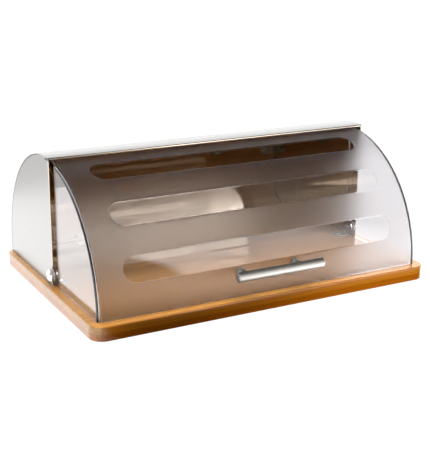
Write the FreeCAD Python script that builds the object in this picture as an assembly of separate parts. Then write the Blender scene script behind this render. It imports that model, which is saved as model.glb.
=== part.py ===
import FreeCAD, Part
import math
import os

from FreeCAD import Vector

# Household bread bin: a bamboo board, a quarter-round steel shell at the back and
# a moulded clear lid that swings up and back inside the shell on two side pivots.
# Everything is in millimetres, X to the right, Y to the back, Z up.
# The pieces are drawn about the board's centre. As they are saved, they move back so
# that the origin is the middle of the whole bin, handle included, on its worktop.

os.makedirs("parts", exist_ok=True)

# Board
board_width = 390.0
board_depth = 264.0
board_thickness = 15.0
board_corner_radius = 14.5
board_edge_round = 1.2

# Rubber pads under the board
pad_radius = 7.0
pad_height = 2.5
pad_bevel = 0.6
pad_inset = 26.0

# Steel shell, one gauge of sheet for the back and both sides
sheet = 0.6
shell_side_setback = 5.3
shell_back_setback = 9.45
shell_foot_rise = 14.1
shell_centre_y = 2.15
shell_front_reach = 10.95
seam_gap = 0.1
bend_radius = 1.2
lip_width = 8.0

# Rolled front edge of the back sheet, and the folded front edge of each side
bead_radius = 1.2
bead_leg = 6.0
fold_gap = 0.2
fold_width = 6.0
fold_clearance = 5.0

# Tabs at the foot of the shell, bent inwards on to the board
tab_length = 20.0
tab_width = 16.0
tab_corner_radius = 3.0
tab_end_margin = 4.5
tab_behind_pivot = 7.8
back_tab_spread_share = 0.56
rear_tab_share = 0.83

# Wood screws that hold the tabs
screw_shank_radius = 1.75
screw_head_radius = 3.3
screw_head_height = 1.9
screw_length = 12.0
screw_fit = 0.05
recess_arm_share = 0.55
recess_slot_share = 0.22
recess_depth_share = 0.6

# Lid moulding
cheek_gap = 2.9
lid_front_setback = 11.34
lid_centre_setback = 8.49
lid_head_gap = 1.05
lid_wall = 3.0
lid_corner_radius = 4.0
lid_rest_gap = 0.3
ear_floor_gap = 2.5
ear_front_reach = 10.0

# Polished windows in the frosted front, a little below the frosted skin
window_end_margin = 29.7
window_height = 27.5
window_depth = 0.4
window_count = 3
window_first_angle = 19.6
window_pitch_angle = 24.4

# Pivots
pivot_lift = 10.0
pivot_play = 0.3
barrel_radius = 3.0
barrel_fit = 0.05
cap_radius = 7.0
cap_rim = 0.8
cap_crown = 2.4
spacer_radius = 7.0
inner_washer_radius = 7.0
inner_washer_thickness = 1.2
pivot_screw_radius = 2.0
pivot_screw_length = 6.0
pivot_head_radius = 4.0
pivot_head_height = 2.4

# Handle: a stock bar on two flared feet
bar_radius = 5.0
bar_overhang = 18.0
bar_chamfer = 1.0
bar_standoff = 24.0
handle_pitch = 64.0
handle_angle = 10.6
foot_base_radius = 5.0
foot_rim = 0.9
foot_waist_radius = 2.9
foot_base_flare = 5.5
foot_top_radius = 4.0
foot_top_flare = 5.0
spigot_radius = 2.0
spigot_length = 3.5
handle_screw_radius = 2.0
handle_screw_length = 10.0
handle_bore_spare = 1.8
handle_head_radius = 3.5
handle_head_height = 2.4
handle_washer_radius = 4.5
handle_washer_thickness = 0.8

# Clearance round a screw that passes through, the overrun that every cut uses,
# and how near two faces must be to count as one when edges are picked
through_clearance = 0.2
overrun = 2.0
touch = 0.01

# Angles in degrees
quarter_turn = 90.0
half_turn = 180.0
full_turn = 360.0

# Places worked out from the sizes above
board_bottom = pad_height
board_top = board_bottom + board_thickness
shell_half_width = board_width / 2 - shell_side_setback
shell_back_y = board_depth / 2 - shell_back_setback
shell_radius = shell_back_y - shell_centre_y
shell_centre_z = board_top + shell_foot_rise
shell_front_y = shell_centre_y - shell_front_reach
pivot_y = shell_front_y + cap_radius
pivot_z = board_top + pivot_lift
ear_radius = pivot_lift - ear_floor_gap
lid_half_width = shell_half_width - sheet - cheek_gap
lid_centre_y = shell_centre_y + lid_centre_setback
lid_radius = lid_centre_y + board_depth / 2 - lid_front_setback
lid_bottom = board_top + lid_rest_gap
lid_back_y = pivot_y + ear_radius
bar_length = handle_pitch + 2 * bar_overhang
bar_reach = (lid_radius + bar_standoff) * math.cos(math.radians(handle_angle))
bin_front_y = lid_centre_y - bar_reach - bar_radius
bin_middle_y = (bin_front_y + board_depth / 2) / 2
handle_hole_radius = handle_screw_radius + through_clearance
tab_screw_offset = tab_length - tab_end_margin

axis_x = Vector(1, 0, 0)
axis_y = Vector(0, 1, 0)
axis_z = Vector(0, 0, 1)


def on_circle(centre_y, centre_z, radius, degrees):
    """A point on a circle in the side view, counted from straight back, upwards."""
    turn = math.radians(degrees)
    return Vector(0, centre_y + radius * math.cos(turn), centre_z + radius * math.sin(turn))


def bead_centre():
    """Centre of the rolled edge: it touches the sheet's outer curve from inside."""
    y = shell_front_y + bead_radius
    reach = shell_radius - bead_radius
    z = shell_centre_z + math.sqrt(reach ** 2 - (y - shell_centre_y) ** 2)
    return Vector(0, y, z)


def lid_centre_height():
    """The lid's curve passes just under the rolled edge."""
    bead = bead_centre()
    rise = math.sqrt(lid_radius ** 2 - (bead.y - lid_centre_y) ** 2)
    return bead.z - bead_radius - lid_head_gap - rise


lid_centre_z = lid_centre_height()


def line(start, end):
    return Part.LineSegment(start, end).toShape()


def arc(start, middle, end):
    return Part.Arc(start, middle, end).toShape()


def prism(edges, start_x, end_x):
    """A side-view outline drawn at X = 0, pulled from one X to another."""
    face = Part.Face(Part.Wire(edges))
    face.translate(Vector(start_x, 0, 0))
    return face.extrude(Vector(end_x - start_x, 0, 0))


def block(x_low, x_high, y_low, y_high, z_low, z_high):
    size = (x_high - x_low, y_high - y_low, z_high - z_low)
    return Part.makeBox(size[0], size[1], size[2], Vector(x_low, y_low, z_low))


def disc(radius, height, base, direction):
    return Part.makeCylinder(radius, height, base, direction)


def mirrored(shape):
    """The same piece on the other side of the bin."""
    return shape.mirror(Vector(0, 0, 0), axis_x)


def stood_on_lid(shape, angle, radius, x):
    """Takes a shape drawn about +Z and stands it on the lid, square to its curve."""
    turn = math.radians(angle)
    placed = shape.copy()
    placed.rotate(Vector(0, 0, 0), axis_x, quarter_turn - angle)
    y = lid_centre_y - radius * math.cos(turn)
    z = lid_centre_z + radius * math.sin(turn)
    placed.translate(Vector(x, y, z))
    return placed


def save(shape, name):
    shape = shape.removeSplitter()
    shape.translate(Vector(0, -bin_middle_y, 0))
    shape.exportStep("parts/%s.step" % name)
    solids = len(shape.Solids)
    print("%-22s solids %d  volume %10.1f  valid %s" % (name, solids, shape.Volume, shape.isValid()))


# Board and pads

def side_tab_centres():
    return [pivot_y + tab_behind_pivot, shell_back_y * rear_tab_share]


def back_tab_centres():
    spread = shell_half_width * back_tab_spread_share
    return [-spread, spread]


def shell_screw_places():
    """Where the tabs are screwed down: both sides' tabs, then the back's."""
    side_x = shell_half_width - tab_screw_offset
    places = []
    for y in side_tab_centres():
        places += [(-side_x, y), (side_x, y)]
    for x in back_tab_centres():
        places.append((x, shell_back_y - tab_screw_offset))
    return places


def base_board():
    """Bamboo board with round corners and softened edges, drilled for the screws."""
    half_x = board_width / 2
    half_y = board_depth / 2
    board = block(-half_x, half_x, -half_y, half_y, board_bottom, board_top)
    upright = [e for e in board.Edges if abs(e.BoundBox.ZLength - board_thickness) < touch]
    board = board.makeFillet(board_corner_radius, upright)
    level = [e for e in board.Edges if e.BoundBox.ZLength < touch]
    board = board.makeFillet(board_edge_round, level)
    pilot_depth = screw_length - sheet + screw_fit
    for x, y in shell_screw_places():
        base = Vector(x, y, board_top - pilot_depth)
        pilot = disc(screw_shank_radius + screw_fit, pilot_depth + overrun, base, axis_z)
        board = board.cut(pilot)
    return board


def pad(x, y):
    """One round stick-on rubber pad with a bevelled lower edge."""
    body = disc(pad_radius, pad_height, Vector(x, y, 0), axis_z)
    lower = [e for e in body.Edges if e.BoundBox.ZMax < touch]
    return body.makeChamfer(pad_bevel, lower)


# Steel shell

def back_sheet_outline():
    """Section of the back sheet: upright wall, arc, rolled bead and return leg."""
    centre = Vector(0, shell_centre_y, shell_centre_z)
    bead = bead_centre()
    out = (bead - centre).normalize()
    inner_bead = bead_radius - sheet
    rise = 2 * inner_bead - fold_gap - bead_leg ** 2 / (2 * shell_radius)
    slope = math.atan2(-out.y, out.z) + math.asin(rise / bead_leg)
    along = Vector(0, math.cos(slope), math.sin(slope))
    down = Vector(0, math.sin(slope), -math.cos(slope))
    front = Vector(0, -1, 0)
    bead_end = math.degrees(math.atan2(out.z, out.y))
    half_way = bead_end / 2
    inner = shell_radius - sheet
    outer_foot = Vector(0, shell_back_y, board_top)
    outer_spring = on_circle(shell_centre_y, shell_centre_z, shell_radius, 0)
    outer_top = centre + out * shell_radius
    inner_top = centre + out * inner
    inner_spring = on_circle(shell_centre_y, shell_centre_z, inner, 0)
    inner_foot = Vector(0, shell_back_y - sheet, board_top)
    leg_outer = bead + down * bead_radius
    leg_inner = bead + down * inner_bead
    return [
        line(outer_foot, outer_spring),
        arc(outer_spring, on_circle(shell_centre_y, shell_centre_z, shell_radius, half_way), outer_top),
        arc(outer_top, bead + front * bead_radius, leg_outer),
        line(leg_outer, leg_outer + along * bead_leg),
        line(leg_outer + along * bead_leg, leg_inner + along * bead_leg),
        line(leg_inner + along * bead_leg, leg_inner),
        arc(leg_inner, bead + front * inner_bead, inner_top),
        arc(inner_top, on_circle(shell_centre_y, shell_centre_z, inner, half_way), inner_spring),
        line(inner_spring, inner_foot),
        line(inner_foot, outer_foot),
    ]


def bent_tab():
    """A tab bent from a wall's foot, drawn with the wall's outer face at X = 0."""
    half = tab_width / 2
    axis = Vector(bend_radius, -half, bend_radius)
    ring = disc(bend_radius, tab_width, axis, axis_y).cut(disc(bend_radius - sheet, tab_width, axis, axis_y))
    bend = ring.common(block(0, bend_radius, -half, half, 0, bend_radius))
    tongue = block(bend_radius, tab_length, -half, half, 0, sheet)
    ends = [e for e in tongue.Edges if e.BoundBox.XMin > tab_length - touch and e.BoundBox.YLength < touch]
    tongue = tongue.makeFillet(tab_corner_radius, ends)
    hole_radius = screw_shank_radius + through_clearance
    hole = disc(hole_radius, sheet + 2 * overrun, Vector(tab_screw_offset, 0, -overrun), axis_z)
    return bend.fuse(tongue.cut(hole))


def add_tab(wall, x, y, degrees):
    """Opens the foot of a wall and bends a tab out of it."""
    half = tab_width / 2
    room = block(-overrun, bend_radius, -half, half, -overrun, bend_radius)
    placed = []
    for shape in (room, bent_tab()):
        shape.rotate(Vector(0, 0, 0), axis_z, degrees)
        shape.translate(Vector(x, y, board_top))
        placed.append(shape)
    return wall.cut(placed[0]).fuse(placed[1])


def back_sheet():
    """Curved back and top, with the rolled front edge and two screw tabs."""
    body = prism(back_sheet_outline(), -shell_half_width, shell_half_width)
    for x in back_tab_centres():
        body = add_tab(body, x, shell_back_y, -quarter_turn)
    return body


def side_outline(inset, reach):
    """Side panel seen from the side; reach carries it past the front and the foot."""
    radius = shell_radius - sheet - seam_gap - inset
    spring = on_circle(shell_centre_y, shell_centre_z, radius, 0)
    front_y = shell_front_y - reach
    top_z = shell_centre_z + math.sqrt(radius ** 2 - (front_y - shell_centre_y) ** 2)
    top = Vector(0, front_y, top_z)
    end = math.degrees(math.atan2(top_z - shell_centre_z, front_y - shell_centre_y))
    middle = on_circle(shell_centre_y, shell_centre_z, radius, end / 2)
    foot_z = board_top - reach
    foot_back = Vector(0, spring.y, foot_z)
    foot_front = Vector(0, front_y, foot_z)
    rim = [line(foot_back, spring), arc(spring, middle, top)]
    return rim + [line(top, foot_front), line(foot_front, foot_back)]


def curved_edge_at(shape, x):
    """The long curved edge and the upright below it, on the face at this X."""
    found = []
    for edge in shape.Edges:
        box = edge.BoundBox
        on_face = abs(box.XMin - x) < touch and abs(box.XMax - x) < touch
        at_rim = box.YMax > shell_back_y - lip_width and box.ZLength > sheet
        if on_face and at_rim:
            found.append(edge)
    return found


def front_fold():
    """The folded front edge of a side panel: a half ring and a short leg."""
    low = pivot_z + cap_radius + fold_clearance
    high = bead_centre().z - bead_radius - seam_gap
    wide = 2 * sheet + fold_gap
    face_x = -shell_half_width
    axis = Vector(face_x + wide / 2, shell_front_y + wide / 2, low)
    ring = disc(wide / 2, high - low, axis, axis_z)
    ring = ring.cut(disc(fold_gap / 2, high - low, axis, axis_z))
    front_half = block(face_x, face_x + wide, shell_front_y, axis.y, low, high)
    leg = block(face_x + wide - sheet, face_x + wide, axis.y, shell_front_y + fold_width, low, high)
    plate = face_x + sheet + fold_gap / 2
    room = block(face_x - overrun, plate, shell_front_y - overrun, axis.y, low, high)
    return ring.common(front_half).fuse(leg), room


def bead_notch():
    """Room for the back sheet's rolled edge at the top front corner of a side."""
    bead = bead_centre()
    outer = -shell_half_width - overrun
    inner = -shell_half_width + lip_width + overrun
    low = bead.z - bead_radius - seam_gap
    back = bead.y + bead_leg + bead_radius
    return block(outer, inner, shell_front_y - overrun, back, low, low + shell_radius)


def side_panel():
    """Left side: a shallow pressed pan whose lip runs under the back sheet."""
    outer_x = -shell_half_width
    body = prism(side_outline(0, 0), outer_x, outer_x + lip_width)
    body = body.makeFillet(bend_radius, curved_edge_at(body, outer_x))
    pocket = prism(side_outline(sheet, overrun), outer_x + sheet, outer_x + lip_width + overrun)
    pocket = pocket.makeFillet(bend_radius - sheet, curved_edge_at(pocket, outer_x + sheet))
    body = body.cut(pocket).cut(bead_notch())
    fold, room = front_fold()
    body = body.cut(room).fuse(fold)
    for y in side_tab_centres():
        body = add_tab(body, outer_x, y, 0)
    hole_base = Vector(outer_x - overrun, pivot_y, pivot_z)
    hole = disc(barrel_radius + barrel_fit, sheet + 2 * overrun, hole_base, axis_x)
    return body.cut(hole)


# Screws, all drawn with the head's underside at Z = 0 and the shank pointing down

def cross_recess(head_radius, head_height):
    """The cross cut in a screw head."""
    arm = head_radius * recess_arm_share
    slot = head_radius * recess_slot_share / 2
    floor = head_height * (1 - recess_depth_share)
    bars = [block(-x, x, -y, y, floor, head_height + overrun) for x, y in ((arm, slot), (slot, arm))]
    return bars[0].fuse(bars[1])


def pan_screw(shank_radius, length, head_radius, head_height):
    """A pan-head screw: the head is a turned dome with a flat crown."""
    crown = head_radius / 2
    corner = Vector(head_radius, 0, head_height / 3)
    shoulder = Vector((head_radius + crown) / 2 + head_height / 6, 0, head_height * 5 / 6)
    top = Vector(crown, 0, head_height)
    section = [
        line(Vector(0, 0, -length), Vector(shank_radius, 0, -length)),
        line(Vector(shank_radius, 0, -length), Vector(shank_radius, 0, 0)),
        line(Vector(shank_radius, 0, 0), Vector(head_radius, 0, 0)),
        line(Vector(head_radius, 0, 0), corner),
        arc(corner, shoulder, top),
        line(top, Vector(0, 0, head_height)),
        line(Vector(0, 0, head_height), Vector(0, 0, -length)),
    ]
    body = Part.Face(Part.Wire(section)).revolve(Vector(0, 0, 0), axis_z, full_turn)
    return body.cut(cross_recess(head_radius, head_height))


def shell_screws():
    screws = []
    for x, y in shell_screw_places():
        screw = pan_screw(screw_shank_radius, screw_length, screw_head_radius, screw_head_height)
        screw.translate(Vector(x, y, board_top + sheet))
        screws.append(screw)
    return Part.Compound(screws)


# Lid

def lid_outline(inset, reach):
    """Lid seen from the side; reach carries it past the foot and the open back."""
    radius = lid_radius - inset
    bottom = lid_bottom - reach
    back = lid_back_y + reach
    front = Vector(0, lid_centre_y - math.sqrt(radius ** 2 - (bottom - lid_centre_z) ** 2), bottom)
    top = Vector(0, back, lid_centre_z + math.sqrt(radius ** 2 - (back - lid_centre_y) ** 2))
    start = math.degrees(math.atan2(front.z - lid_centre_z, front.y - lid_centre_y)) % full_turn
    end = math.degrees(math.atan2(top.z - lid_centre_z, top.y - lid_centre_y))
    middle = on_circle(lid_centre_y, lid_centre_z, radius, (start + end) / 2)
    back_foot = Vector(0, back, bottom)
    return [arc(front, middle, top), line(top, back_foot), line(back_foot, front)]


def lid_curve_edges(shape):
    """The two long curved edges, one on each end face."""
    curved = []
    for edge in shape.Edges:
        box = edge.BoundBox
        if box.XLength < touch and min(box.YLength, box.ZLength) > ear_radius:
            curved.append(edge)
    return curved


def ear_trim():
    """What is cut away below and behind the round ear at the pivot."""
    centre = Vector(0, pivot_y, pivot_z)
    start = Vector(0, pivot_y - ear_front_reach, lid_bottom)
    to_centre = centre - start
    spread = math.acos(ear_radius / to_centre.Length)
    toward_start = math.atan2(start.z - centre.z, start.y - centre.y)
    tangent = on_circle(pivot_y, pivot_z, ear_radius, math.degrees(toward_start + spread))
    back = on_circle(pivot_y, pivot_z, ear_radius, 0)
    half_way = math.degrees(toward_start + spread) / 2
    low = lid_bottom - overrun
    far = lid_back_y + overrun
    edges = [
        line(start, tangent),
        arc(tangent, on_circle(pivot_y, pivot_z, ear_radius, half_way), back),
        line(back, Vector(0, far, pivot_z)),
        line(Vector(0, far, pivot_z), Vector(0, far, low)),
        line(Vector(0, far, low), Vector(0, start.y, low)),
        line(Vector(0, start.y, low), start),
    ]
    return prism(edges, -lid_half_width - overrun, lid_half_width + overrun)


def window_angles():
    return [window_first_angle + window_pitch_angle * i for i in range(window_count)]


def window_recess(angle):
    """A long round-ended field that is a little lower than the skin round it."""
    half_height = window_height / 2
    half_straight = lid_half_width - window_end_margin - half_height
    low = -window_height
    stadium = block(-half_straight, half_straight, -half_height, half_height, low, overrun)
    for x in (-half_straight, half_straight):
        stadium = stadium.fuse(disc(half_height, overrun - low, Vector(x, 0, low), axis_z))
    stadium = stood_on_lid(stadium.removeSplitter(), angle, lid_radius, 0)
    base = Vector(-lid_half_width, lid_centre_y, lid_centre_z)
    skin = disc(lid_radius + overrun, 2 * lid_half_width, base, axis_x)
    core = disc(lid_radius - window_depth, 2 * lid_half_width, base, axis_x)
    return stadium.common(skin.cut(core))


def handle_places():
    return [-handle_pitch / 2, handle_pitch / 2]


def lid_moulding():
    """One-piece lid: curved front, two end cheeks with ears, round corners."""
    outer = prism(lid_outline(0, 0), -lid_half_width, lid_half_width)
    outer = outer.makeFillet(lid_corner_radius, lid_curve_edges(outer))
    inner_half = lid_half_width - lid_wall
    inner = prism(lid_outline(lid_wall, overrun), -inner_half, inner_half)
    inner = inner.makeFillet(lid_corner_radius - lid_wall, lid_curve_edges(inner))
    lid = outer.cut(inner).cut(ear_trim())
    for angle in window_angles():
        lid = lid.cut(window_recess(angle))
    hole_base = Vector(-lid_half_width - overrun, pivot_y, pivot_z)
    lid = lid.cut(disc(barrel_radius + barrel_fit, 2 * (lid_half_width + overrun), hole_base, axis_x))
    for x in handle_places():
        drill = disc(handle_hole_radius, lid_wall + 2 * overrun, Vector(0, 0, -lid_wall - overrun), axis_z)
        lid = lid.cut(stood_on_lid(drill, handle_angle, lid_radius, x))
    return lid


# Handle

def handle_bar():
    """Round bar with chamfered ends and a blind hole over each foot."""
    bar = disc(bar_radius, bar_length, Vector(-bar_length / 2, 0, 0), axis_x)
    rims = [e for e in bar.Edges if e.BoundBox.XLength < touch]
    bar = bar.makeChamfer(bar_chamfer, rims)
    for x in handle_places():
        depth = spigot_length + screw_fit
        base = Vector(x, 0, -bar_radius - overrun)
        bar = bar.cut(disc(spigot_radius + screw_fit, depth + overrun, base, axis_z))
    return stood_on_lid(bar, handle_angle, lid_radius + bar_standoff, 0)


def handle_foot(x):
    """Turned foot, flared at both ends, coped to the bar and bored for its screw."""
    neck_low = foot_rim + foot_base_flare
    neck_high = bar_standoff - bar_radius - foot_top_flare
    base_bulge = Vector((foot_base_radius + 3 * foot_waist_radius) / 4, 0, foot_rim + foot_base_flare / 4)
    top_bulge = Vector((foot_top_radius + 3 * foot_waist_radius) / 4, 0, neck_high + foot_top_flare * 3 / 4)
    neck_top = Vector(foot_top_radius, 0, neck_high + foot_top_flare)
    tip = Vector(foot_top_radius, 0, bar_standoff)
    section = [
        line(Vector(0, 0, 0), Vector(foot_base_radius, 0, 0)),
        line(Vector(foot_base_radius, 0, 0), Vector(foot_base_radius, 0, foot_rim)),
        arc(Vector(foot_base_radius, 0, foot_rim), base_bulge, Vector(foot_waist_radius, 0, neck_low)),
        line(Vector(foot_waist_radius, 0, neck_low), Vector(foot_waist_radius, 0, neck_high)),
        arc(Vector(foot_waist_radius, 0, neck_high), top_bulge, neck_top),
        line(neck_top, tip),
        line(tip, Vector(0, 0, bar_standoff)),
        line(Vector(0, 0, bar_standoff), Vector(0, 0, 0)),
    ]
    foot = Part.Face(Part.Wire(section)).revolve(Vector(0, 0, 0), axis_z, full_turn)
    cope = disc(bar_radius, 2 * foot_base_radius, Vector(-foot_base_radius, 0, bar_standoff), axis_x)
    foot = foot.cut(cope)
    spigot_base = Vector(0, 0, bar_standoff - bar_radius - foot_rim)
    foot = foot.fuse(disc(spigot_radius, spigot_length + foot_rim, spigot_base, axis_z))
    depth = handle_screw_length - lid_wall - handle_washer_thickness + handle_bore_spare
    bore_radius = handle_screw_radius + screw_fit
    bore = disc(bore_radius, depth + overrun, Vector(0, 0, -overrun), axis_z)
    return stood_on_lid(foot.cut(bore), handle_angle, lid_radius, x)


def washer(outer_radius, hole_radius, thickness):
    body = disc(outer_radius, thickness, Vector(0, 0, 0), axis_z)
    return body.cut(disc(hole_radius, thickness, Vector(0, 0, 0), axis_z))


def washer_seat_radius():
    """How far from the lid's axis a flat washer sits inside the curved wall."""
    inner = lid_radius - lid_wall
    return math.sqrt(inner ** 2 - handle_washer_radius ** 2)


def handle_washers():
    shapes = []
    for x in handle_places():
        ring = washer(handle_washer_radius, handle_hole_radius, handle_washer_thickness)
        seat = washer_seat_radius() - handle_washer_thickness
        shapes.append(stood_on_lid(ring, handle_angle, seat, x))
    return Part.Compound(shapes)


def handle_screws():
    """Screws from inside the lid, through the washers into the feet."""
    shapes = []
    for x in handle_places():
        screw = pan_screw(handle_screw_radius, handle_screw_length, handle_head_radius, handle_head_height)
        screw.rotate(Vector(0, 0, 0), axis_x, half_turn)
        seat = washer_seat_radius() - handle_washer_thickness
        shapes.append(stood_on_lid(screw, handle_angle, seat, x))
    return Part.Compound(shapes)


# Left pivot: a domed barrel from outside, a screw with a broad washer from inside

def pivot_stations():
    """X of the left pivot's faces, from the outside in."""
    panel_inner = -shell_half_width + sheet
    cheek_outer = -lid_half_width
    cheek_inner = cheek_outer + lid_wall
    barrel_end = cheek_inner + pivot_play
    return panel_inner, cheek_outer, barrel_end


def pivot_barrel():
    """Domed cap and plain barrel in one turned piece, bored for the inner screw."""
    end = pivot_stations()[2]
    length = end + shell_half_width
    dome_radius = (cap_radius ** 2 + cap_crown ** 2) / (2 * cap_crown)
    dome_low = cap_rim + cap_crown - dome_radius
    half_way = math.asin(cap_radius / dome_radius) / 2
    rise = Vector(dome_radius * math.sin(half_way), 0, dome_low + dome_radius * math.cos(half_way))
    section = [
        line(Vector(0, 0, -length), Vector(barrel_radius, 0, -length)),
        line(Vector(barrel_radius, 0, -length), Vector(barrel_radius, 0, 0)),
        line(Vector(barrel_radius, 0, 0), Vector(cap_radius, 0, 0)),
        line(Vector(cap_radius, 0, 0), Vector(cap_radius, 0, cap_rim)),
        arc(Vector(cap_radius, 0, cap_rim), rise, Vector(0, 0, cap_rim + cap_crown)),
        line(Vector(0, 0, cap_rim + cap_crown), Vector(0, 0, -length)),
    ]
    body = Part.Face(Part.Wire(section)).revolve(Vector(0, 0, 0), axis_z, full_turn)
    bore_depth = pivot_screw_length - inner_washer_thickness + through_clearance
    bore_base = Vector(0, 0, -length - overrun)
    body = body.cut(disc(pivot_screw_radius + screw_fit, bore_depth + overrun, bore_base, axis_z))
    return turned_to_left(body, -shell_half_width)


def turned_to_left(shape, x):
    """Lays a piece drawn about +Z along the pivot, its top facing left."""
    shape = shape.copy()
    shape.rotate(Vector(0, 0, 0), axis_y, -quarter_turn)
    shape.translate(Vector(x, pivot_y, pivot_z))
    return shape


def spacer_washer():
    """Nylon spacer against the steel, a little short of the lid's cheek."""
    panel_inner, cheek_outer = pivot_stations()[:2]
    thickness = cheek_outer - panel_inner - pivot_play
    ring = washer(spacer_radius, barrel_radius + barrel_fit, thickness)
    return turned_to_left(ring, panel_inner + thickness)


def inner_washer():
    barrel_end = pivot_stations()[2]
    ring = washer(inner_washer_radius, pivot_screw_radius + through_clearance, inner_washer_thickness)
    return turned_to_left(ring, barrel_end + inner_washer_thickness)


def pivot_screw():
    barrel_end = pivot_stations()[2]
    screw = pan_screw(pivot_screw_radius, pivot_screw_length, pivot_head_radius, pivot_head_height)
    screw.rotate(Vector(0, 0, 0), axis_x, half_turn)
    return turned_to_left(screw, barrel_end + inner_washer_thickness)


def build():
    save(base_board(), "base_board")
    pad_x = board_width / 2 - pad_inset
    pad_y = board_depth / 2 - pad_inset
    for front_name, y in (("front", -pad_y), ("rear", pad_y)):
        for side_name, x in (("left", -pad_x), ("right", pad_x)):
            save(pad(x, y), "%s_%s_pad" % (front_name, side_name))
    save(back_sheet(), "back_sheet")
    save(shell_screws(), "shell_screws")
    save(lid_moulding(), "lid_moulding")
    save(handle_bar(), "handle_bar")
    for side_name, x in zip(("left", "right"), handle_places()):
        save(handle_foot(x), "handle_%s_foot" % side_name)
    save(handle_washers(), "handle_washers")
    save(handle_screws(), "handle_screws")
    paired = [
        ("side_panel", side_panel()),
        ("pivot_barrel", pivot_barrel()),
        ("pivot_spacer", spacer_washer()),
        ("pivot_washer", inner_washer()),
        ("pivot_screw", pivot_screw()),
    ]
    for name, shape in paired:
        save(shape, "left_" + name)
        save(mirrored(shape), "right_" + name)


print("bin middle %.4f  pivot %.4f  lid centre %.4f %.4f  shell centre %.4f %.4f" % (
    bin_middle_y, pivot_y - bin_middle_y, lid_centre_y - bin_middle_y, lid_centre_z,
    shell_centre_y - bin_middle_y, shell_centre_z))
build()
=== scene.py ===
# %% [markdown]
# # A bread bin: bamboo board, steel shell, clear swing lid
#
# This lesson dresses a finished CAD model of a household bread bin. The CAD pieces
# already have their true shapes, so the work here is what the eye reads: lacquered
# bamboo, brushed steel, a clear moulding with a frosted front, and the pale studio
# that all of them mirror. Everything is in metres, X to the right, Y to the back, Z up.

# %% Load the CAD pieces
import bpy
import math
from mathutils import Matrix, Vector

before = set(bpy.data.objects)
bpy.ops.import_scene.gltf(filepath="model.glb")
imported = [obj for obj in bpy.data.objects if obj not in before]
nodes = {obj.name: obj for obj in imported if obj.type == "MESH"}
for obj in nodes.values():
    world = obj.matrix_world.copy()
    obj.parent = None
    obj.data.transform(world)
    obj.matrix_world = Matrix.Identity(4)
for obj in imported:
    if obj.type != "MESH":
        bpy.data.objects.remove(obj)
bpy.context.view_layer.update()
mm = 0.001
print("CAD pieces:", len(nodes))

# %% [markdown]
# ## Colours
#
# Colours are written as the hex values that a paint chart or a picture editor shows,
# and those are sRGB. The renderer works in linear light, so one function converts
# them, and no colour goes round it.


# %% From hex to linear light
def linear(hex_value, alpha=1.0):
    """An sRGB hex colour as linear red, green, blue and alpha."""
    channels = [int(hex_value[i:i + 2], 16) / 255 for i in (1, 3, 5)]
    light = [c / 12.92 if c <= 0.04045 else ((c + 0.055) / 1.055) ** 2.4 for c in channels]
    return (*light, alpha)


print("mid grey in linear light:", [round(c, 3) for c in linear("#808080")])

# %% [markdown]
# ## Nodes and materials
#
# Materials are node networks. They could be drawn by hand in the editor, but then
# nobody can read why a number is what it is. Here one function adds a node, sets its
# values and joins its inputs, so every material below reads as a list of steps from
# pattern to surface.


# %% Add a node
def add_node(tree, kind, settings=None, links=None):
    """Adds a node. A setting is a property, a ramp's stops or an unlinked input's value."""
    made = tree.nodes.new(kind)
    for name, value in (settings or {}).items():
        if name == "stops":
            for stop, (position, colour) in zip(made.color_ramp.elements, value):
                stop.position, stop.color = position, linear(colour)
        elif isinstance(name, str) and hasattr(made, name):
            setattr(made, name, value)
        else:
            made.inputs[name].default_value = value
    for name, source in (links or {}).items():
        socket = source.outputs[0] if isinstance(source, bpy.types.Node) else source
        tree.links.new(socket, made.inputs[name])
    return made


print("materials that came with the CAD pieces:", len(bpy.data.materials))


# %% Start a material and put it on pieces
def new_material(name):
    """A material with an empty node tree and its output node."""
    material = bpy.data.materials.new(name)
    material.use_nodes = True
    material.node_tree.nodes.clear()
    output = add_node(material.node_tree, "ShaderNodeOutputMaterial")
    return material, material.node_tree, output


def dress(material, *names):
    """Puts a material on CAD nodes in place of the plain one that they came with."""
    for name in names:
        for material_slot in nodes[name].material_slots:
            material_slot.material = material
    print(material.name, "on", ", ".join(names))


print("pieces to dress:", len(nodes))

# %% [markdown]
# ## Bamboo board
#
# The real board is flat-pressed bamboo: strips about 20 mm wide and 7.5 mm thick, glued
# side by side in two layers, sanded, and coated with a gloss lacquer. To the eye that
# gives three things. Each strip has its own tone. Fine straight fibres run the length
# of every strip, darker than the pale ground. And now and then a darker band crosses a
# strip where the cane had a joint.
#
# A picture of bamboo would be quick, but it would stretch round the edges and could
# not be shared freely. Here the pattern is worked out in the board's own space, in
# real millimetres, so the strips meet at every edge as cut wood does.

# %% Bamboo: strips and layers
bamboo, tree, output = new_material("lacquered_bamboo")
place = add_node(tree, "ShaderNodeTexCoord").outputs["Object"]
axes = add_node(tree, "ShaderNodeSeparateXYZ", links={"Vector": place})

strip_width = 20 * mm
layer_height = 7.5 * mm
layer_margin = 1.001  # keeps the top face of the board in the upper layer
layer_shift = 0.37  # how far the upper seams lie from the lower ones, in strips
board_underside = 2.5 * mm

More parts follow.
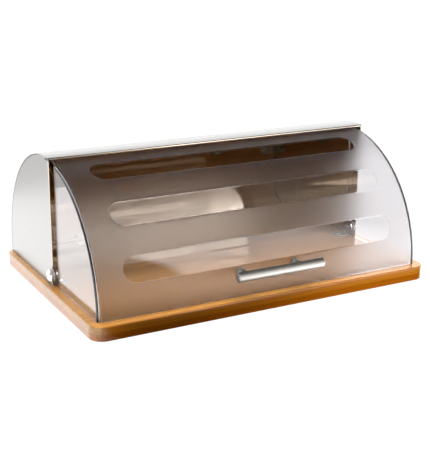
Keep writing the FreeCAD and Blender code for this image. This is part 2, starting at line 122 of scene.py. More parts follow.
above_underside = add_node(tree, "ShaderNodeMath", {"operation": "SUBTRACT", 1: board_underside},
                           {0: axes.outputs["Z"]})
layer_count = add_node(tree, "ShaderNodeMath",
                       {"operation": "DIVIDE", 1: layer_height * layer_margin},
                       {0: above_underside})
layer = add_node(tree, "ShaderNodeMath", {"operation": "FLOOR"}, {0: layer_count})
stagger = add_node(tree, "ShaderNodeMath", {"operation": "MULTIPLY", 1: layer_shift}, {0: layer})
strip_count = add_node(tree, "ShaderNodeMath", {"operation": "DIVIDE", 1: strip_width},
                       {0: axes.outputs["Y"]})
strip_place = add_node(tree, "ShaderNodeMath", {"operation": "ADD"}, {0: strip_count, 1: stagger})
strip = add_node(tree, "ShaderNodeMath", {"operation": "FLOOR"}, {0: strip_place})
strip_key = add_node(tree, "ShaderNodeCombineXYZ", links={"X": strip, "Y": layer})
strip_tone = add_node(tree, "ShaderNodeTexWhiteNoise", {"noise_dimensions": "2D"},
                      {"Vector": strip_key})

# %% [markdown]
# The fibres are bundles 0.3 to 0.5 mm thick that run along X for the whole strip. A
# noise that is drawn out along X gives them. Real bundles are finer than a pixel of
# the render, so they are drawn 0.8 mm thick, and a second, coarser noise stands for
# the way they gather into streaks. Each strip takes its piece of the noise from
# another place, so that no fibre runs on across a seam.

# %% Bamboo: fibres and streaks
fibre_size = 0.8 * mm
streak_size = 4 * mm
fibre_stretch = 0.018  # a fibre is 1 / 0.018, or about 55, times as long as it is thick
strip_offset = 2.6  # metres, so far that two strips have nothing in common

offset = add_node(tree, "ShaderNodeVectorMath", {"operation": "SCALE", "Scale": strip_offset},
                  {0: strip_tone.outputs["Color"]})
shifted = add_node(tree, "ShaderNodeVectorMath", {"operation": "ADD"}, {0: place, 1: offset})
fibre_grid = add_node(tree, "ShaderNodeVectorMath",
                      {"operation": "MULTIPLY", 1: (fibre_stretch, 1.0, 1.0)}, {0: shifted})
fibres = add_node(tree, "ShaderNodeTexNoise",
                  {"Scale": 1 / fibre_size, "Detail": 3.0, "Roughness": 0.6},
                  {"Vector": fibre_grid})
streaks = add_node(tree, "ShaderNodeTexNoise",
                   {"Scale": 1 / streak_size, "Detail": 4.0, "Roughness": 0.55,
                    "Distortion": 0.3}, {"Vector": fibre_grid})
print("fibres per strip:", round(strip_width / fibre_size))

# %% [markdown]
# A cane has a joint every hand's breadth or two, and a strip that is cut from it shows
# each one as a short dark band. A cell pattern gives points at irregular distances.
# When the distance across the strip hardly counts, its points become bands.

# %% Bamboo: cane joints
joint_spacing = 120 * mm
joint_spread = 0.05  # how much of the distance across the strip still counts
joint_half_width = 0.03  # as a share of the spacing, so 3.6 mm

joint_grid = add_node(tree, "ShaderNodeVectorMath",
                      {"operation": "MULTIPLY", 1: (1.0, joint_spread, joint_spread)},
                      {0: shifted})
joints = add_node(tree, "ShaderNodeTexVoronoi", {"feature": "F1", "Scale": 1 / joint_spacing},
                  {"Vector": joint_grid})
joint_band = add_node(tree, "ShaderNodeMapRange",
                      {"From Min": 0.0, "From Max": joint_half_width,
                       "To Min": 1.0, "To Max": 0.0}, {"Value": joints.outputs["Distance"]})
print("a joint fades out over", round(joint_half_width * joint_spacing / mm, 1), "mm")

# %% [markdown]
# Raw bamboo is straw yellow, and steaming turns it amber. The lacquer deepens both.
# The lower layer of this board comes from a darker and yellower batch than the upper
# one. The long front face is darker again: painted shade, as it gets less light than
# the top. Both are drawn by multiplying the ground colour, so that the fibres stay.

# %% Bamboo: colour
board_front_y = -124.5 * mm
front_shade_depth = 1.5 * mm

ground = add_node(tree, "ShaderNodeValToRGB", {"stops": ((0.25, "#b0742f"), (0.78, "#cb9650"))},
                  {"Fac": streaks.outputs["Fac"]})
fibre_shade = add_node(tree, "ShaderNodeMapRange",
                       {"From Min": 0.35, "From Max": 0.7, "To Min": 0.82, "To Max": 1.06},
                       {"Value": fibres.outputs["Fac"]})
strip_shade = add_node(tree, "ShaderNodeMapRange", {"To Min": 0.86, "To Max": 1.1},
                       {"Value": strip_tone.outputs["Value"]})
shade = add_node(tree, "ShaderNodeMath", {"operation": "MULTIPLY"},
                 {0: fibre_shade, 1: strip_shade})
toned = add_node(tree, "ShaderNodeVectorMath", {"operation": "SCALE"},
                 {0: ground, "Scale": shade})
lower_layer = add_node(tree, "ShaderNodeMath", {"operation": "LESS_THAN", 1: 0.5}, {0: layer})
batches = add_node(tree, "ShaderNodeMix",
                   {"data_type": "RGBA", "blend_type": "MULTIPLY", 7: linear("#ecd69c")},
                   {0: lower_layer, 6: toned})
jointed = add_node(tree, "ShaderNodeMix", {"data_type": "RGBA", 7: linear("#7a4218")},
                   {0: joint_band, 6: batches.outputs[2]})
# Painted shade: the board's front face is darkened in its colour.
front_face_shade = add_node(tree, "ShaderNodeMath",
                      {"operation": "LESS_THAN", 1: board_front_y + front_shade_depth},
                      {0: axes.outputs["Y"]})
wood_colour = add_node(tree, "ShaderNodeMix",
                       {"data_type": "RGBA", "blend_type": "MULTIPLY", 7: linear("#e8ca70")},
                       {0: front_face_shade, 6: jointed.outputs[2]})
print("the front edge is darker to", round(front_shade_depth / mm, 1), "mm behind its face")

# %% [markdown]
# Under the lacquer the wood has no gloss of its own. All the gloss is in the lacquer,
# which the shader draws as a clear coat: nearly smooth, and a little stronger than a
# plain varnish with an IOR of 1.5, as the photograph shows it. The sanded grain stands
# up only a few thousandths of a millimetre.

# %% Bamboo: wood under lacquer
grain_bump = add_node(tree, "ShaderNodeBump", {"Strength": 0.08, "Distance": 0.05 * mm},
                      {"Height": fibres.outputs["Fac"]})
wood_rough = add_node(tree, "ShaderNodeMapRange", {"To Min": 0.24, "To Max": 0.38},
                      {"Value": streaks.outputs["Fac"]})
wood = add_node(tree, "ShaderNodeBsdfPrincipled",
                {"Metallic": 0.0, "IOR": 1.5, "Specular IOR Level": 0.0,
                 "Coat Weight": 1.0, "Coat Roughness": 0.01, "Coat IOR": 1.6},
                {"Base Color": wood_colour.outputs[2], "Roughness": wood_rough,
                 "Normal": grain_bump})
tree.links.new(wood.outputs[0], output.inputs["Surface"])
dress(bamboo, "base_board")

# %% [markdown]
# ## Brushed stainless sheet
#
# The shell is 0.6 mm stainless. Its outside was brushed with a belt, which leaves fine
# scratches side by side: they smear what the metal mirrors. The inside was never
# brushed. It keeps the bright finish of the rolling mill, a little warmer in tone, so
# through the lid it works like a dim mirror and shows the board, the lid and the
# studio in front.
#
# A stretched noise stands for the scratches. It varies the roughness and tilts the
# surface a little. Real scratches are a few hundredths of a millimetre wide, far below
# a pixel, so they are drawn 0.5 mm wide. The same recipe serves every metal of the
# bin. Where only one face of a piece was worked, the place in the sheet says which.

# %% Metal finish
scratch_size = 0.5 * mm
mill_bright = 0.02
mill_tone = "#d8ccba"


def metal_finish(name, stretch, tones, roughness, worked_face=None):
    """Scratched metal; where worked_face(tree, place) is 0 it is mill-bright instead."""
    metal, tree, output = new_material(name)
    place = add_node(tree, "ShaderNodeTexCoord").outputs["Object"]
    stretched = add_node(tree, "ShaderNodeVectorMath", {"operation": "MULTIPLY", 1: stretch},
                         {0: place})
    scratches = add_node(tree, "ShaderNodeTexNoise",
                         {"Scale": 1 / scratch_size, "Detail": 4.0, "Roughness": 0.7},
                         {"Vector": stretched})
    height = scratches.outputs["Fac"]
    rough = add_node(tree, "ShaderNodeMapRange",
                     {"From Min": 0.3, "From Max": 0.7,
                      "To Min": roughness[0], "To Max": roughness[1]}, {"Value": height})
    colour = add_node(tree, "ShaderNodeValToRGB", {"stops": zip((0.3, 0.7), tones)},
                      {"Fac": height})
    if worked_face:
        mask = worked_face(tree, place)
        height = add_node(tree, "ShaderNodeMath", {"operation": "MULTIPLY"}, {0: height, 1: mask})
        rough = add_node(tree, "ShaderNodeMix", {"data_type": "FLOAT", 2: mill_bright},
                         {0: mask, 3: rough})
        colour = add_node(tree, "ShaderNodeMix", {"data_type": "RGBA", 6: linear(mill_tone)},
                          {0: mask, 7: colour}).outputs[2]
    bump = add_node(tree, "ShaderNodeBump", {"Strength": 0.25, "Distance": 0.02 * mm},
                    {"Height": height})
    surface = add_node(tree, "ShaderNodeBsdfPrincipled", {"Metallic": 1.0},
                       {"Base Color": colour, "Roughness": rough, "Normal": bump})
    tree.links.new(surface.outputs[0], output.inputs["Surface"])
    return metal


print("scratches are drawn", round(scratch_size / mm, 1), "mm wide")

# %% [markdown]
# Three kinds of place on the sheet are dull. The first is the outside, which is told
# from the inside by its place: on the back sheet it is everything that lies at the
# full radius from the axis of the bend, and on a side panel everything at the full
# width. The other two were never bright, and a bright edge there would catch the wood
# as an orange line: the cut ends of the back sheet, and the tabs that lie on the board.

# %% Shell: sizes that tell the faces apart
shell_axis_y = 9.655 * mm
shell_axis_z = 31.6 * mm
shell_radius = 120.4 * mm
shell_half_width = 189.7 * mm
board_top = 17.5 * mm
skin = 0.25 * mm  # less than half the sheet, so only one face is in it
sheet_margin = 1.2 * mm  # two sheets thick


def on_the_board(tree, height):
    """1 on the tabs, which lie on the board."""
    return add_node(tree, "ShaderNodeMath",
                    {"operation": "LESS_THAN", 1: board_top + sheet_margin}, {0: height})


print("a face counts as outside to a depth of", round(skin / mm, 2), "mm")


# %% Shell: the dull places of the back sheet
def back_sheet_outside(tree, place):
    """1 on the outside of the back sheet, on its cut ends and on its tabs."""
    from_axis = add_node(tree, "ShaderNodeVectorMath",
                         {"operation": "SUBTRACT", 1: (0.0, shell_axis_y, shell_axis_z)},
                         {0: place})
    parts = add_node(tree, "ShaderNodeSeparateXYZ", links={"Vector": from_axis})
    # Below the axis the back is upright, so the height no longer counts there.
    rise = add_node(tree, "ShaderNodeMath", {"operation": "MAXIMUM", 1: 0.0},
                    {0: parts.outputs["Z"]})
    flat = add_node(tree, "ShaderNodeCombineXYZ", links={"Y": parts.outputs["Y"], "Z": rise})
    reach = add_node(tree, "ShaderNodeVectorMath", {"operation": "LENGTH"}, {0: flat})
    outer = add_node(tree, "ShaderNodeMath", {"operation": "GREATER_THAN", 1: shell_radius - skin},
                     {0: reach.outputs["Value"]})
    sideways = add_node(tree, "ShaderNodeMath", {"operation": "ABSOLUTE"},
                        {0: parts.outputs["X"]})
    cut_end = add_node(tree, "ShaderNodeMath",
                       {"operation": "GREATER_THAN", 1: shell_half_width - sheet_margin},
                       {0: sideways})
    level = add_node(tree, "ShaderNodeSeparateXYZ", links={"Vector": place}).outputs["Z"]
    dull = add_node(tree, "ShaderNodeMath", {"operation": "MAXIMUM"},
                    {0: cut_end, 1: on_the_board(tree, level)})
    return add_node(tree, "ShaderNodeMath", {"operation": "MAXIMUM"}, {0: outer, 1: dull})


print("the back sheet is dull from a reach of", round((shell_radius - skin) / mm, 2), "mm")


# %% Shell: the dull places of a side panel
def side_panel_outside(tree, place):
    """1 on the outside of either side panel, and on its tabs."""
    parts = add_node(tree, "ShaderNodeSeparateXYZ", links={"Vector": place})
    reach = add_node(tree, "ShaderNodeMath", {"operation": "ABSOLUTE"}, {0: parts.outputs["X"]})
    outer = add_node(tree, "ShaderNodeMath",
                     {"operation": "GREATER_THAN", 1: shell_half_width - skin}, {0: reach})
    return add_node(tree, "ShaderNodeMath", {"operation": "MAXIMUM"},
                    {0: outer, 1: on_the_board(tree, parts.outputs["Z"])})


print("a side panel is dull from", round((shell_half_width - skin) / mm, 2), "mm sideways")

# %% [markdown]
# The belt ran along X on the back sheet and from front to back on the side panels, so
# each gets its own direction of scratches. Along the scratches the noise is drawn out
# a hundred times.

# %% Shell: brushed sheets
steel_tones = ("#969593", "#a09f9d")
along_x, along_y = (0.01, 1.0, 1.0), (1.0, 0.01, 1.0)

brushed_back = metal_finish("stainless_back_sheet", along_x, steel_tones, (0.22, 0.32),
                            back_sheet_outside)
brushed_side = metal_finish("stainless_side_sheet", along_y, steel_tones, (0.26, 0.36),
                            side_panel_outside)
dress(brushed_back, "back_sheet")
dress(brushed_side, "left_side_panel", "right_side_panel")

# %% [markdown]
# ## Satin nickel handle
#
# The handle is a stock bar, plated with nickel and brushed to a satin. It reads as a
# softer, slightly warmer metal than the sheet. The brushing runs round the bar, so the
# noise is drawn out in the two directions across it.

# %% Satin nickel
round_the_bar = (1.0, 0.15, 0.15)
satin_nickel = metal_finish("satin_nickel", round_the_bar, ("#cdc8c1", "#dad6cf"), (0.45, 0.53))
dress(satin_nickel, "handle_bar", "handle_left_foot", "handle_right_foot")

# %% [markdown]
# ## Plated screws, washers and pivots
#
# Screws and washers are steel with bright zinc on it. The plating follows every tool
# mark, so it is nearly a mirror with a faint cloudy bloom. The caps on the pivots were
# polished before they were plated, which makes them the brightest metal on the bin.

# %% Bright zinc
no_direction = (1.0, 1.0, 1.0)
bright_zinc = metal_finish("bright_zinc_plate", no_direction, ("#b4b4b1", "#d8d7d3"), (0.12, 0.24))
polished_cap = metal_finish("polished_pivot_cap", no_direction, ("#d8d7d4", "#e6e5e2"),
                            (0.08, 0.16))
dress(bright_zinc, "shell_screws", "handle_screws", "handle_washers", "left_pivot_screw",
      "right_pivot_screw", "left_pivot_washer", "right_pivot_washer")
dress(polished_cap, "left_pivot_barrel", "right_pivot_barrel")

# %% [markdown]
# ## Nylon spacers and rubber pads
#
# Nylon is milky: light enters it and comes out a little further on. Rubber is the
# opposite, dark and dry, with a bloom of fine dust in its pores. Both are moulded, so
# one recipe with a mottled colour and a fine relief serves them.

# %% Moulded solids
moulded_relief = 0.05 * mm
rough_spread = 0.08


def moulded_solid(name, tones, grain, rough, subsurface):
    """A moulded material with a mottled colour and a fine relief."""
    solid, tree, output = new_material(name)
    place = add_node(tree, "ShaderNodeTexCoord").outputs["Object"]
    mottle = add_node(tree, "ShaderNodeTexNoise",
                      {"Scale": 1 / grain, "Detail": 5.0, "Roughness": 0.6}, {"Vector": place})
    height = mottle.outputs["Fac"]
    colour = add_node(tree, "ShaderNodeValToRGB", {"stops": zip((0.3, 0.7), tones)},
                      {"Fac": height})
    rough_map = add_node(tree, "ShaderNodeMapRange",
                         {"To Min": rough - rough_spread, "To Max": rough + rough_spread},
                         {"Value": height})
    bump = add_node(tree, "ShaderNodeBump", {"Strength": 0.4, "Distance": moulded_relief},
                    {"Height": height})
    surface = add_node(tree, "ShaderNodeBsdfPrincipled",
                       {"IOR": 1.52, "Subsurface Weight": subsurface,
                        "Subsurface Scale": 1.0 * mm},
                       {"Base Color": colour, "Roughness": rough_map, "Normal": bump})
    tree.links.new(surface.outputs[0], output.inputs["Surface"])
    return solid


print("moulded relief in mm:", round(moulded_relief / mm, 2))

# %% Nylon and rubber
nylon = moulded_solid("natural_nylon", ("#dedbd0", "#efece4"), 1.2 * mm, 0.42, 0.3)
dress(nylon, "left_pivot_spacer", "right_pivot_spacer")
rubber = moulded_solid("black_rubber", ("#1c1b1a", "#2c2a28"), 0.6 * mm, 0.78, 0.0)
dress(rubber, "front_left_pad", "front_right_pad", "rear_left_pad", "rear_right_pad")

# %% [markdown]
# ## Clear moulding with a frosted front
#
# The lid is one injection moulding in clear styrene, 3 mm thick. The mould is polished
# except for the outside of its curved front, which is etched. The etching leaves a
# fine grain that scatters what shines through, so the inside of the bin melts into
# soft colour. Three long windows stay polished and lie 0.4 mm lower.
#
# One material does all of it. The lid's own geometry says where the frost is: it is
# the skin that lies furthest from the axis of the curve, and the windows and cheeks
# are nearer to it. The distance from that axis is therefore the mask. A painted map
# would also work, but it would need unwrapping, and its edge would be as coarse as the
# map's pixels.

# %% Where the frost is
lid_axis_y = 18.145 * mm
lid_axis_z = 18.124 * mm
lid_radius = 131.3 * mm
frost_depth = 0.25 * mm

clear_styrene, tree, output = new_material("clear_tinted_styrene")
place = add_node(tree, "ShaderNodeTexCoord").outputs["Object"]
from_axis = add_node(tree, "ShaderNodeVectorMath",
                     {"operation": "SUBTRACT", 1: (0.0, lid_axis_y, lid_axis_z)}, {0: place})
side_view = add_node(tree, "ShaderNodeVectorMath",
                     {"operation": "MULTIPLY", 1: (0.0, 1.0, 1.0)}, {0: from_axis})
reach = add_node(tree, "ShaderNodeVectorMath", {"operation": "LENGTH"}, {0: side_view})
frosted = add_node(tree, "ShaderNodeMath",
                   {"operation": "GREATER_THAN", 1: lid_radius - frost_depth},
                   {0: reach.outputs["Value"]})
print("frost starts at a reach of", round((lid_radius - frost_depth) / mm, 2), "mm")

# %% [markdown]
# The step down into a window isn't sharp. It has a rounded shoulder that catches a
# line of light all round, and a bump can draw it, since the step itself is already in
# the mesh. The bump needs to know how far a point is from the window's outline. Three
# windows of one size follow each other round the curve, so the angle is wrapped: every
# point finds its own window, and then one distance serves all three.

# %% Where a point lies in its window
window_pitch = math.radians(24.4)
lowest_window = math.radians(19.6)
just_short_of_half = 0.49  # the wrap must not start a fourth window

beside_axis = add_node(tree, "ShaderNodeSeparateXYZ", links={"Vector": from_axis})
forward = add_node(tree, "ShaderNodeMath", {"operation": "MULTIPLY", 1: -1.0},
                   {0: beside_axis.outputs["Y"]})
angle = add_node(tree, "ShaderNodeMath", {"operation": "ARCTAN2"},
                 {0: beside_axis.outputs["Z"], 1: forward})
above_lowest = add_node(tree, "ShaderNodeMath", {"operation": "SUBTRACT", 1: lowest_window},
                        {0: angle})
within = add_node(tree, "ShaderNodeClamp",
                  {"Min": -just_short_of_half * window_pitch,
                   "Max": (2 + just_short_of_half) * window_pitch}, {"Value": above_lowest})
from_centre = add_node(tree, "ShaderNodeMath",
                       {"operation": "WRAP", 1: window_pitch / 2, 2: -window_pitch / 2},
                       {0: within})
upward = add_node(tree, "ShaderNodeMath", {"operation": "MULTIPLY", 1: lid_radius},
                  {0: from_centre})
print("windows are", round(window_pitch * lid_radius / mm, 1), "mm apart round the curve")

# %% [markdown]
# A window is a straight slot with round ends. The distance to its middle line says all:
# along the straight part only the height counts, and past it the height and the rest
# of the length count together.

# %% The shoulders of the windows
window_end_radius = 13.7 * mm
window_half_length = 156.5 * mm
shoulder_width = 1.6 * mm

sideways = add_node(tree, "ShaderNodeMath", {"operation": "ABSOLUTE"},
                    {0: beside_axis.outputs["X"]})
past_straight = add_node(tree, "ShaderNodeMath",
                         {"operation": "SUBTRACT", 1: window_half_length - window_end_radius},
                         {0: sideways})
toward_end = add_node(tree, "ShaderNodeMath", {"operation": "MAXIMUM", 1: 0.0},
                      {0: past_straight})
from_middle = add_node(tree, "ShaderNodeCombineXYZ", links={"X": toward_end, "Y": upward})
spread = add_node(tree, "ShaderNodeVectorMath", {"operation": "LENGTH"}, {0: from_middle})
shoulder = add_node(tree, "ShaderNodeMapRange",
                    {"interpolation_type": "SMOOTHSTEP",
                     "From Min": window_end_radius - shoulder_width / 2,
                     "From Max": window_end_radius + shoulder_width / 2},
                    {"Value": spread.outputs["Value"]})
shoulder_bump = add_node(tree, "ShaderNodeBump", {"Strength": 0.6, "Distance": 0.5 * mm},
                         {"Height": shoulder})
print("the shoulders are drawn", round(shoulder_width / mm, 1), "mm wide")

# %% [markdown]
# An etched grain is about a tenth of a millimetre, far below a pixel. The roughness
# stands for it, and a noise of 0.9 mm adds the sparkle that can still be seen. The
# styrene is clear with a faint purple tint, which a maker adds so that it doesn't look
# yellow. Across a 3 mm wall nobody sees it, but along the moulded edge the light goes
# through centimetres of it. That is why the tint is in the volume and not on the
# surface.

# %% Frost grain, polish and tint
frost_grain_size = 0.9 * mm
polished, etched = 0.005, 0.5

frost_grain = add_node(tree, "ShaderNodeTexNoise",
                       {"Scale": 1 / frost_grain_size, "Detail": 2.0, "Roughness": 0.6},
                       {"Vector": place})
frost_height = add_node(tree, "ShaderNodeMath", {"operation": "MULTIPLY"},
                        {0: frost_grain.outputs["Fac"], 1: frosted})
frost_bump = add_node(tree, "ShaderNodeBump", {"Strength": 0.5, "Distance": 0.12 * mm},
                      {"Height": frost_height, "Normal": shoulder_bump})
frost_rough = add_node(tree, "ShaderNodeMapRange", {"To Min": polished, "To Max": etched},
                       {"Value": frosted})
lid_surface = add_node(tree, "ShaderNodeBsdfPrincipled",
                       {"Base Color": linear("#fcfcfc"), "IOR": 1.49,
                        "Transmission Weight": 1.0},
                       {"Roughness": frost_rough, "Normal": frost_bump})
tint = add_node(tree, "ShaderNodeVolumeAbsorption",
                {"Color": linear("#b478c0"), "Density": 14.0})
tree.links.new(lid_surface.outputs[0], output.inputs["Surface"])
tree.links.new(tint.outputs[0], output.inputs["Volume"])
dress(clear_styrene, "lid_moulding")

# %% [markdown]
# ## The studio
#
# The photograph is a bright-field packshot: the bin stands on white acrylic that is
# lit until it disappears, with a white sweep behind it, bright boxes in front of it and
# a dim room round the camera. A photographer sets a card or a flag for each surface in
# turn, and the white ground is made even afterwards. One even white room can't do
# that: it would make the steel and the lid look flat.
#
# So the table and the room give each kind of ray its own strength. The camera sees an
# even white. Rays that left a matt surface find the lamps. Rays that a piece mirrors
# on its outside find one set of cards, and rays that have gone in and out through the
# lid find another. The materials of the bin know nothing of this: they have no such
# split, and they look the same in any other room.

# %% One strength for each kind of ray
plain_white = 1.05


def strength_by_ray(tree, lighting, outside, inside):
    """Picks the light for the ray: plain white, lighting, outside or inside mirroring."""
    path = add_node(tree, "ShaderNodeLightPath")
    from_matt = add_node(tree, "ShaderNodeMath", {"operation": "GREATER_THAN", 1: 0.5},
                         {0: path.outputs["Diffuse Depth"]})
    # A wall of the lid counts twice, as the ray enters it and as it leaves, so four
    # crossings are the way in and out again.
    through_lid_twice = add_node(tree, "ShaderNodeMath", {"operation": "GREATER_THAN", 1: 3.5},
                                 {0: path.outputs["Transmission Depth"]})
    mirrored = add_node(tree, "ShaderNodeMix", {"data_type": "FLOAT"},
                        {0: through_lid_twice, 2: outside, 3: inside})
    unseen = add_node(tree, "ShaderNodeMix", {"data_type": "FLOAT"},
                      {0: from_matt, 2: mirrored, 3: lighting})
    return add_node(tree, "ShaderNodeMix", {"data_type": "FLOAT", 3: plain_white},
                    {0: path.outputs["Is Camera Ray"], 2: unseen})


print("strength of the white that the camera sees:", plain_white)

# %% [markdown]
# ### The table
#
# The table is one level rectangle. It ends behind the bin, where the sweep of the room
# takes over. It could be white paper under lamps, but then the bin would throw a
# shadow on it, and the photograph shows none. So the table glows by itself, as acrylic
# does that is lit from below.

# %% Table: the sheet
table_front, table_back = -2.5, 430 * mm
table_half_width = 2.5

mesh = bpy.data.meshes.new("studio_floor")
mesh.from_pydata([(-table_half_width, table_front, 0.0), (table_half_width, table_front, 0.0),
                  (table_half_width, table_back, 0.0), (-table_half_width, table_back, 0.0)],
                 [], [(0, 1, 2, 3)])
sheet = bpy.data.objects.new("studio_floor", mesh)
bpy.context.scene.collection.objects.link(sheet)
print("the lit table ends", round(table_back / mm), "mm behind the bin's middle")

# %% [markdown]
# The light of the table depends on the place. Two zones are told apart: the table in
# front of the board, and the table beside and behind it. They meet along the line of
# the board's front. Left of the board's corner the side zone runs on to the front, and
# its border is soft there.

# %% Table: in front of the board or beside it
acrylic, tree, output = new_material("lit_white_acrylic")
place = add_node(tree, "ShaderNodeTexCoord").outputs["Object"]
axes = add_node(tree, "ShaderNodeSeparateXYZ", links={"Vector": place})
across, along = axes.outputs["X"], axes.outputs["Y"]

corner_start, corner_end = -165 * mm, -215 * mm

behind_front = add_node(tree, "ShaderNodeMath", {"operation": "GREATER_THAN", 1: board_front_y},
                        {0: along})
left_of_corner = add_node(tree, "ShaderNodeMapRange",
                          {"From Min": corner_start, "From Max": corner_end}, {"Value": across})
beside = add_node(tree, "ShaderNodeMath", {"operation": "MAXIMUM"},
                  {0: behind_front, 1: left_of_corner})
print("the zones meet", round(-board_front_y / mm, 1), "mm in front of the bin's middle")

# %% [markdown]
# What the outside of the bin mirrors: beside the board the table is bright. In front of
# it the glow rises from left to right, a painted shadow of the board keeps the first few
# centimetres dark, and further off the table is one even white.

# %% Table: mirrored on the outside
shade_start, shade_end = 28 * mm, 75 * mm
near_end, far_start = 100 * mm, 500 * mm

beside_glow = add_node(tree, "ShaderNodeMapRange",
                       {"From Min": -400 * mm, "From Max": 300 * mm,
                        "To Min": 2.25, "To Max": 1.85}, {"Value": across})
near_glow = add_node(tree, "ShaderNodeMapRange",
                     {"From Min": -150 * mm, "From Max": 250 * mm, "To Min": 0.0, "To Max": 5.4},
                     {"Value": across})
# Painted shadow: the glow is held down near the board's front, where its shadow would fall.
clear_of_board = add_node(tree, "ShaderNodeMapRange",
                          {"From Min": board_front_y - shade_start,
                           "From Max": board_front_y - shade_end}, {"Value": along})
near_shaded = add_node(tree, "ShaderNodeMath", {"operation": "MULTIPLY"},
                       {0: near_glow, 1: clear_of_board})
far_away = add_node(tree, "ShaderNodeMapRange",
                    {"From Min": board_front_y - near_end,
                     "From Max": board_front_y - far_start}, {"Value": along})
in_front_glow = add_node(tree, "ShaderNodeMix", {"data_type": "FLOAT", 3: 1.2},
                         {0: far_away, 2: near_shaded})
table_outside = add_node(tree, "ShaderNodeMix", {"data_type": "FLOAT"},
                         {0: beside, 2: in_front_glow, 3: beside_glow})
print("the board keeps the table dark up to", round(shade_end / mm), "mm in front of it")

# %% [markdown]
# What the inside of the bin mirrors, out through the lid: the table in front, dim at
# the left and bright at the right, which fades out half a metre away. Beside and
# behind the board it is one even white.

# %% Table: mirrored on the inside
strip_fades, strip_ends = 500 * mm, 700 * mm

front_strip = add_node(tree, "ShaderNodeMapRange",
                       {"From Min": board_front_y - strip_ends,
                        "From Max": board_front_y - strip_fades}, {"Value": along})
strip_glow = add_node(tree, "ShaderNodeMapRange",
                      {"From Min": 240 * mm, "From Max": 290 * mm, "To Min": 0.25, "To Max": 1.7},
                      {"Value": across})
seen_inside = add_node(tree, "ShaderNodeMath", {"operation": "MULTIPLY"},
                       {0: front_strip, 1: strip_glow})
table_inside = add_node(tree, "ShaderNodeMix", {"data_type": "FLOAT", 3: 1.05},
                        {0: beside, 2: seen_inside})
print("the inside mirrors", round(strip_ends / mm), "mm of the table in front of the board")

# %% [markdown]
# What the table adds to the light on the wood comes from the right part of the table in
# front, and beside and behind the board from all of it except the far left.

# %% Table: lighting
front_light = add_node(tree, "ShaderNodeMapRange",
                       {"From Min": -100 * mm, "From Max": 120 * mm, "To Min": 0.0, "To Max": 2.4},
                       {"Value": across})
side_light = add_node(tree, "ShaderNodeMapRange",
                      {"From Min": -400 * mm, "From Max": -150 * mm,
                       "To Min": 0.0, "To Max": 2.1},
                      {"Value": across})
table_lighting = add_node(tree, "ShaderNodeMix", {"data_type": "FLOAT"},
                          {0: beside, 2: front_light, 3: side_light})
print("nodes in the table's pattern:", len(tree.nodes))

# %% [markdown]
# The table glows with the strength that belongs to the ray. It isn't sampled as a lamp
# is, because that takes a strength which is measured beforehand, without any ray.

# %% Table: lit acrylic
strength = strength_by_ray(tree, table_lighting, table_outside, table_inside)
glow = add_node(tree, "ShaderNodeEmission", {"Color": linear("#ffffff")},
                {"Strength": strength})
tree.links.new(glow.outputs[0], output.inputs["Surface"])
acrylic.cycles.emission_sampling = "NONE"
sheet.data.materials.append(acrylic)
print(acrylic.name, "on", sheet.name)

# %% [markdown]
# ### The room
#
# The room is worked out from directions alone, so it needs no walls or lamps in the
# scene. Two angles describe a direction: how far it lies to the right of straight
# ahead of the bin, and how high it is. A card, a lamp or a wall is then a patch
# between two turns and two heights, with soft borders.

# %% Room: the two angles
world = bpy.data.worlds.new("studio")
bpy.context.scene.world = world
world.use_nodes = True
world.cycles.sampling_method = "NONE"
tree = world.node_tree
tree.nodes.clear()
output = add_node(tree, "ShaderNodeOutputWorld")

direction = add_node(tree, "ShaderNodeTexCoord").outputs["Generated"]
axes = add_node(tree, "ShaderNodeSeparateXYZ", links={"Vector": direction})
toward_front = add_node(tree, "ShaderNodeMath", {"operation": "MULTIPLY", 1: -1.0},
                        {0: axes.outputs["Y"]})
turn = add_node(tree, "ShaderNodeMath", {"operation": "ARCTAN2"},
                {0: axes.outputs["X"], 1: toward_front})
height = add_node(tree, "ShaderNodeMath", {"operation": "ARCSINE"}, {0: axes.outputs["Z"]})
backward_starts, backward_full = 0.3, 0.6
backward = add_node(tree, "ShaderNodeMapRange",
                    {"From Min": backward_starts, "From Max": backward_full},
                    {"Value": axes.outputs["Y"]})
print("backward starts", round(math.degrees(math.asin(backward_starts))), "degrees past sideways")

# %% [markdown]
# Two functions describe a room. One makes a patch from its borders: where it starts,
# where it is full, where it is full no longer and where it ends. The other adds the
# patches up, each with its strength.

# %% Room: patches and their sum
open_all_round = (None,) * 4


def patch(turns=open_all_round, heights=open_all_round, within=None):
    """A patch of light between four turns and four heights in degrees; None is no border."""
    result = within
    for angle, (start, full, still_full, end) in ((turn, turns), (height, heights)):
        for dark, bright in ((start, full), (end, still_full)):
            if dark is None:
                continue
            border = add_node(tree, "ShaderNodeMapRange",
                              {"From Min": math.radians(dark), "From Max": math.radians(bright)},
                              {"Value": angle})
            result = border if result is None else add_node(
                tree, "ShaderNodeMath", {"operation": "MULTIPLY"}, {0: result, 1: border})
    return result


def room_light(everywhere, *patches):
    """A level that is the same everywhere, and each patch times its strength on top."""
    result = None
    for spot, strength in patches:
        result = add_node(tree, "ShaderNodeMath",
                          {"operation": "MULTIPLY_ADD", 1: strength, 2: everywhere},
                          {0: spot} if result is None else {0: spot, 2: result})
    return result


print("the limits of a patch that is open all round:", open_all_round)

# %% [markdown]
# The outside of the bin mirrors a white sweep behind it, a narrow front box that gives
# the front of the lid its pale reflections, pale walls left and right, and a ceiling.
# The walls and the ceiling are what the curved steel shows from behind and from above:
# without them its top would be black.

# %% Room: mirrored on the outside
front_box_turns = (24.8, 25.6, 35, 39)

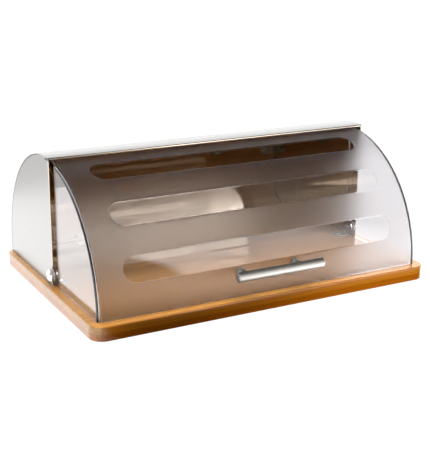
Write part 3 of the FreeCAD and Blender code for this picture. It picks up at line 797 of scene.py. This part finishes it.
low_sweep = patch(heights=(None, None, -2, 3), within=backward)
sweep = patch(heights=(-2, 3, 20, 34), within=backward)
front_box = patch(front_box_turns, (-4, 2, 40, 46))
upper_box = patch((39, 45, 75, 85), (40, 46, 60, 66))
left_wall = patch((-150, -130, -72, -60), (0, 15, None, None))
upper_front = patch((-72, -60, 14, 24), (50, 60, None, None))
right_wall = patch((39, 48, 100, 115), (-4, 2, 28, 36))
ceiling = patch(heights=(70, 80, None, None))
room_outside = room_light(0.0, (low_sweep, 1.3), (sweep, 1.9), (front_box, 3.0),
                          (upper_box, 0.2), (left_wall, 0.7), (upper_front, 0.7),
                          (right_wall, 1.0), (ceiling, 0.25))
print("the front box is", round(front_box_turns[3] - front_box_turns[0]), "degrees wide")

# %% [markdown]
# The mill-bright inside mirrors the front of the room through the lid: a large box at
# the right with a foot under it, and at the left a panel with a sharp border, which
# gives the windows their bright shape. A dim fill joins on to that border.

# %% Room: mirrored on the inside
left_panel_turns = (-70, -60, -38.4, -37.6)

side_box = patch((20, 24, 60, 70), (12, 16, 46, 52))
side_box_foot = patch((20, 24, 36, 40), (-6, -4, 12, 16))
left_panel = patch(left_panel_turns, (15, 18, 27.5, 29.5))
left_fill = patch((*left_panel_turns[2:], -20, -15), (12, 18, 36, 45))
room_inside = room_light(0.15, (low_sweep, 0.8), (sweep, 3.2), (side_box, 6.6),
                         (side_box_foot, 2.5), (left_panel, 6.4), (left_fill, 0.9))
print("the left panel ends", round(-left_panel_turns[3]), "degrees to the left")

# %% [markdown]
# What lights the wood and the frost is simple: a broad lamp overhead, and some fill
# from the front and from the back. It has no hard border, so it leaves no hard shadow.

# %% Room: lighting
overhead_starts = 55

overhead = patch(heights=(overhead_starts, 60, None, None))
front_fill = patch((-70, -60, 60, 70), (32, 38, 55, 60))
rear_fill = patch(heights=(-5, 0, 55, 60), within=backward)
room_lighting = room_light(0.0, (overhead, 6.2), (front_fill, 0.5), (rear_fill, 1.2))
print("the overhead lamp starts", overhead_starts, "degrees up")

# %% [markdown]
# The room becomes the world's background. It isn't sampled as a lamp either, for the
# same reason as the table.

# %% Room: the world
strength = strength_by_ray(tree, room_lighting, room_outside, room_inside)
studio = add_node(tree, "ShaderNodeBackground", {"Color": linear("#ffffff")},
                  {"Strength": strength})
tree.links.new(studio.outputs[0], output.inputs["Surface"])
print("nodes in the room:", len(tree.nodes))

# %% [markdown]
# ## The camera
#
# The camera stands where the photographer stood, worked out from the board's corners
# and the two curved outlines: about 1.1 m away, 29 degrees round to the left and 17
# degrees above. The render is 430 pixels wide and 465 high, and the focal length in
# pixels turns into millimetres through the 36 mm that Blender puts on the long side.

# %% Camera: lens
focal_pixels = 1014.89
image_height = 465
sensor_mm = 36.0

camera_data = bpy.data.cameras.new("camera")
camera_data.lens = focal_pixels / image_height * sensor_mm
camera_data.clip_start = 0.05
camera_data.clip_end = 20.0
camera = bpy.data.objects.new("camera", camera_data)
bpy.context.scene.collection.objects.link(camera)
bpy.context.scene.camera = camera
print("lens in mm:", round(camera_data.lens, 2))

# %% Camera: place and direction
azimuth, elevation, roll = (math.radians(v) for v in (-28.73, 17.40, 0.47))
camera_place = Vector((-511.76, -931.84, 381.29)) * mm

back = Vector((math.sin(azimuth) * math.cos(elevation), -math.cos(azimuth) * math.cos(elevation),
               math.sin(elevation)))
right = (-back).cross(Vector((0, 0, 1))).normalized()
up = right.cross(-back)
turned_right = right * math.cos(roll) + up * math.sin(roll)
turned_up = up * math.cos(roll) - right * math.sin(roll)
rotation = Matrix((turned_right, turned_up, back)).transposed()
camera.matrix_world = Matrix.Translation(camera_place) @ rotation.to_4x4()
print("camera distance in mm:", round(camera_place.length / mm))

# %% [markdown]
# ## The picture
#
# The plain view transform keeps white at white. The lid needs many bounces: a ray
# enters and leaves the plastic, meets the steel, and comes back the same way. The
# clamp keeps single bright rays from speckling the frost.

# %% Picture settings
scene = bpy.context.scene
scene.view_settings.view_transform = "Standard"
scene.view_settings.look = "None"
scene.view_settings.exposure = 0.0
scene.cycles.max_bounces = 16
scene.cycles.transmission_bounces = 12
scene.cycles.glossy_bounces = 8
scene.cycles.transparent_max_bounces = 12
scene.cycles.sample_clamp_indirect = 6.0
print("a ray may bounce", scene.cycles.max_bounces, "times")
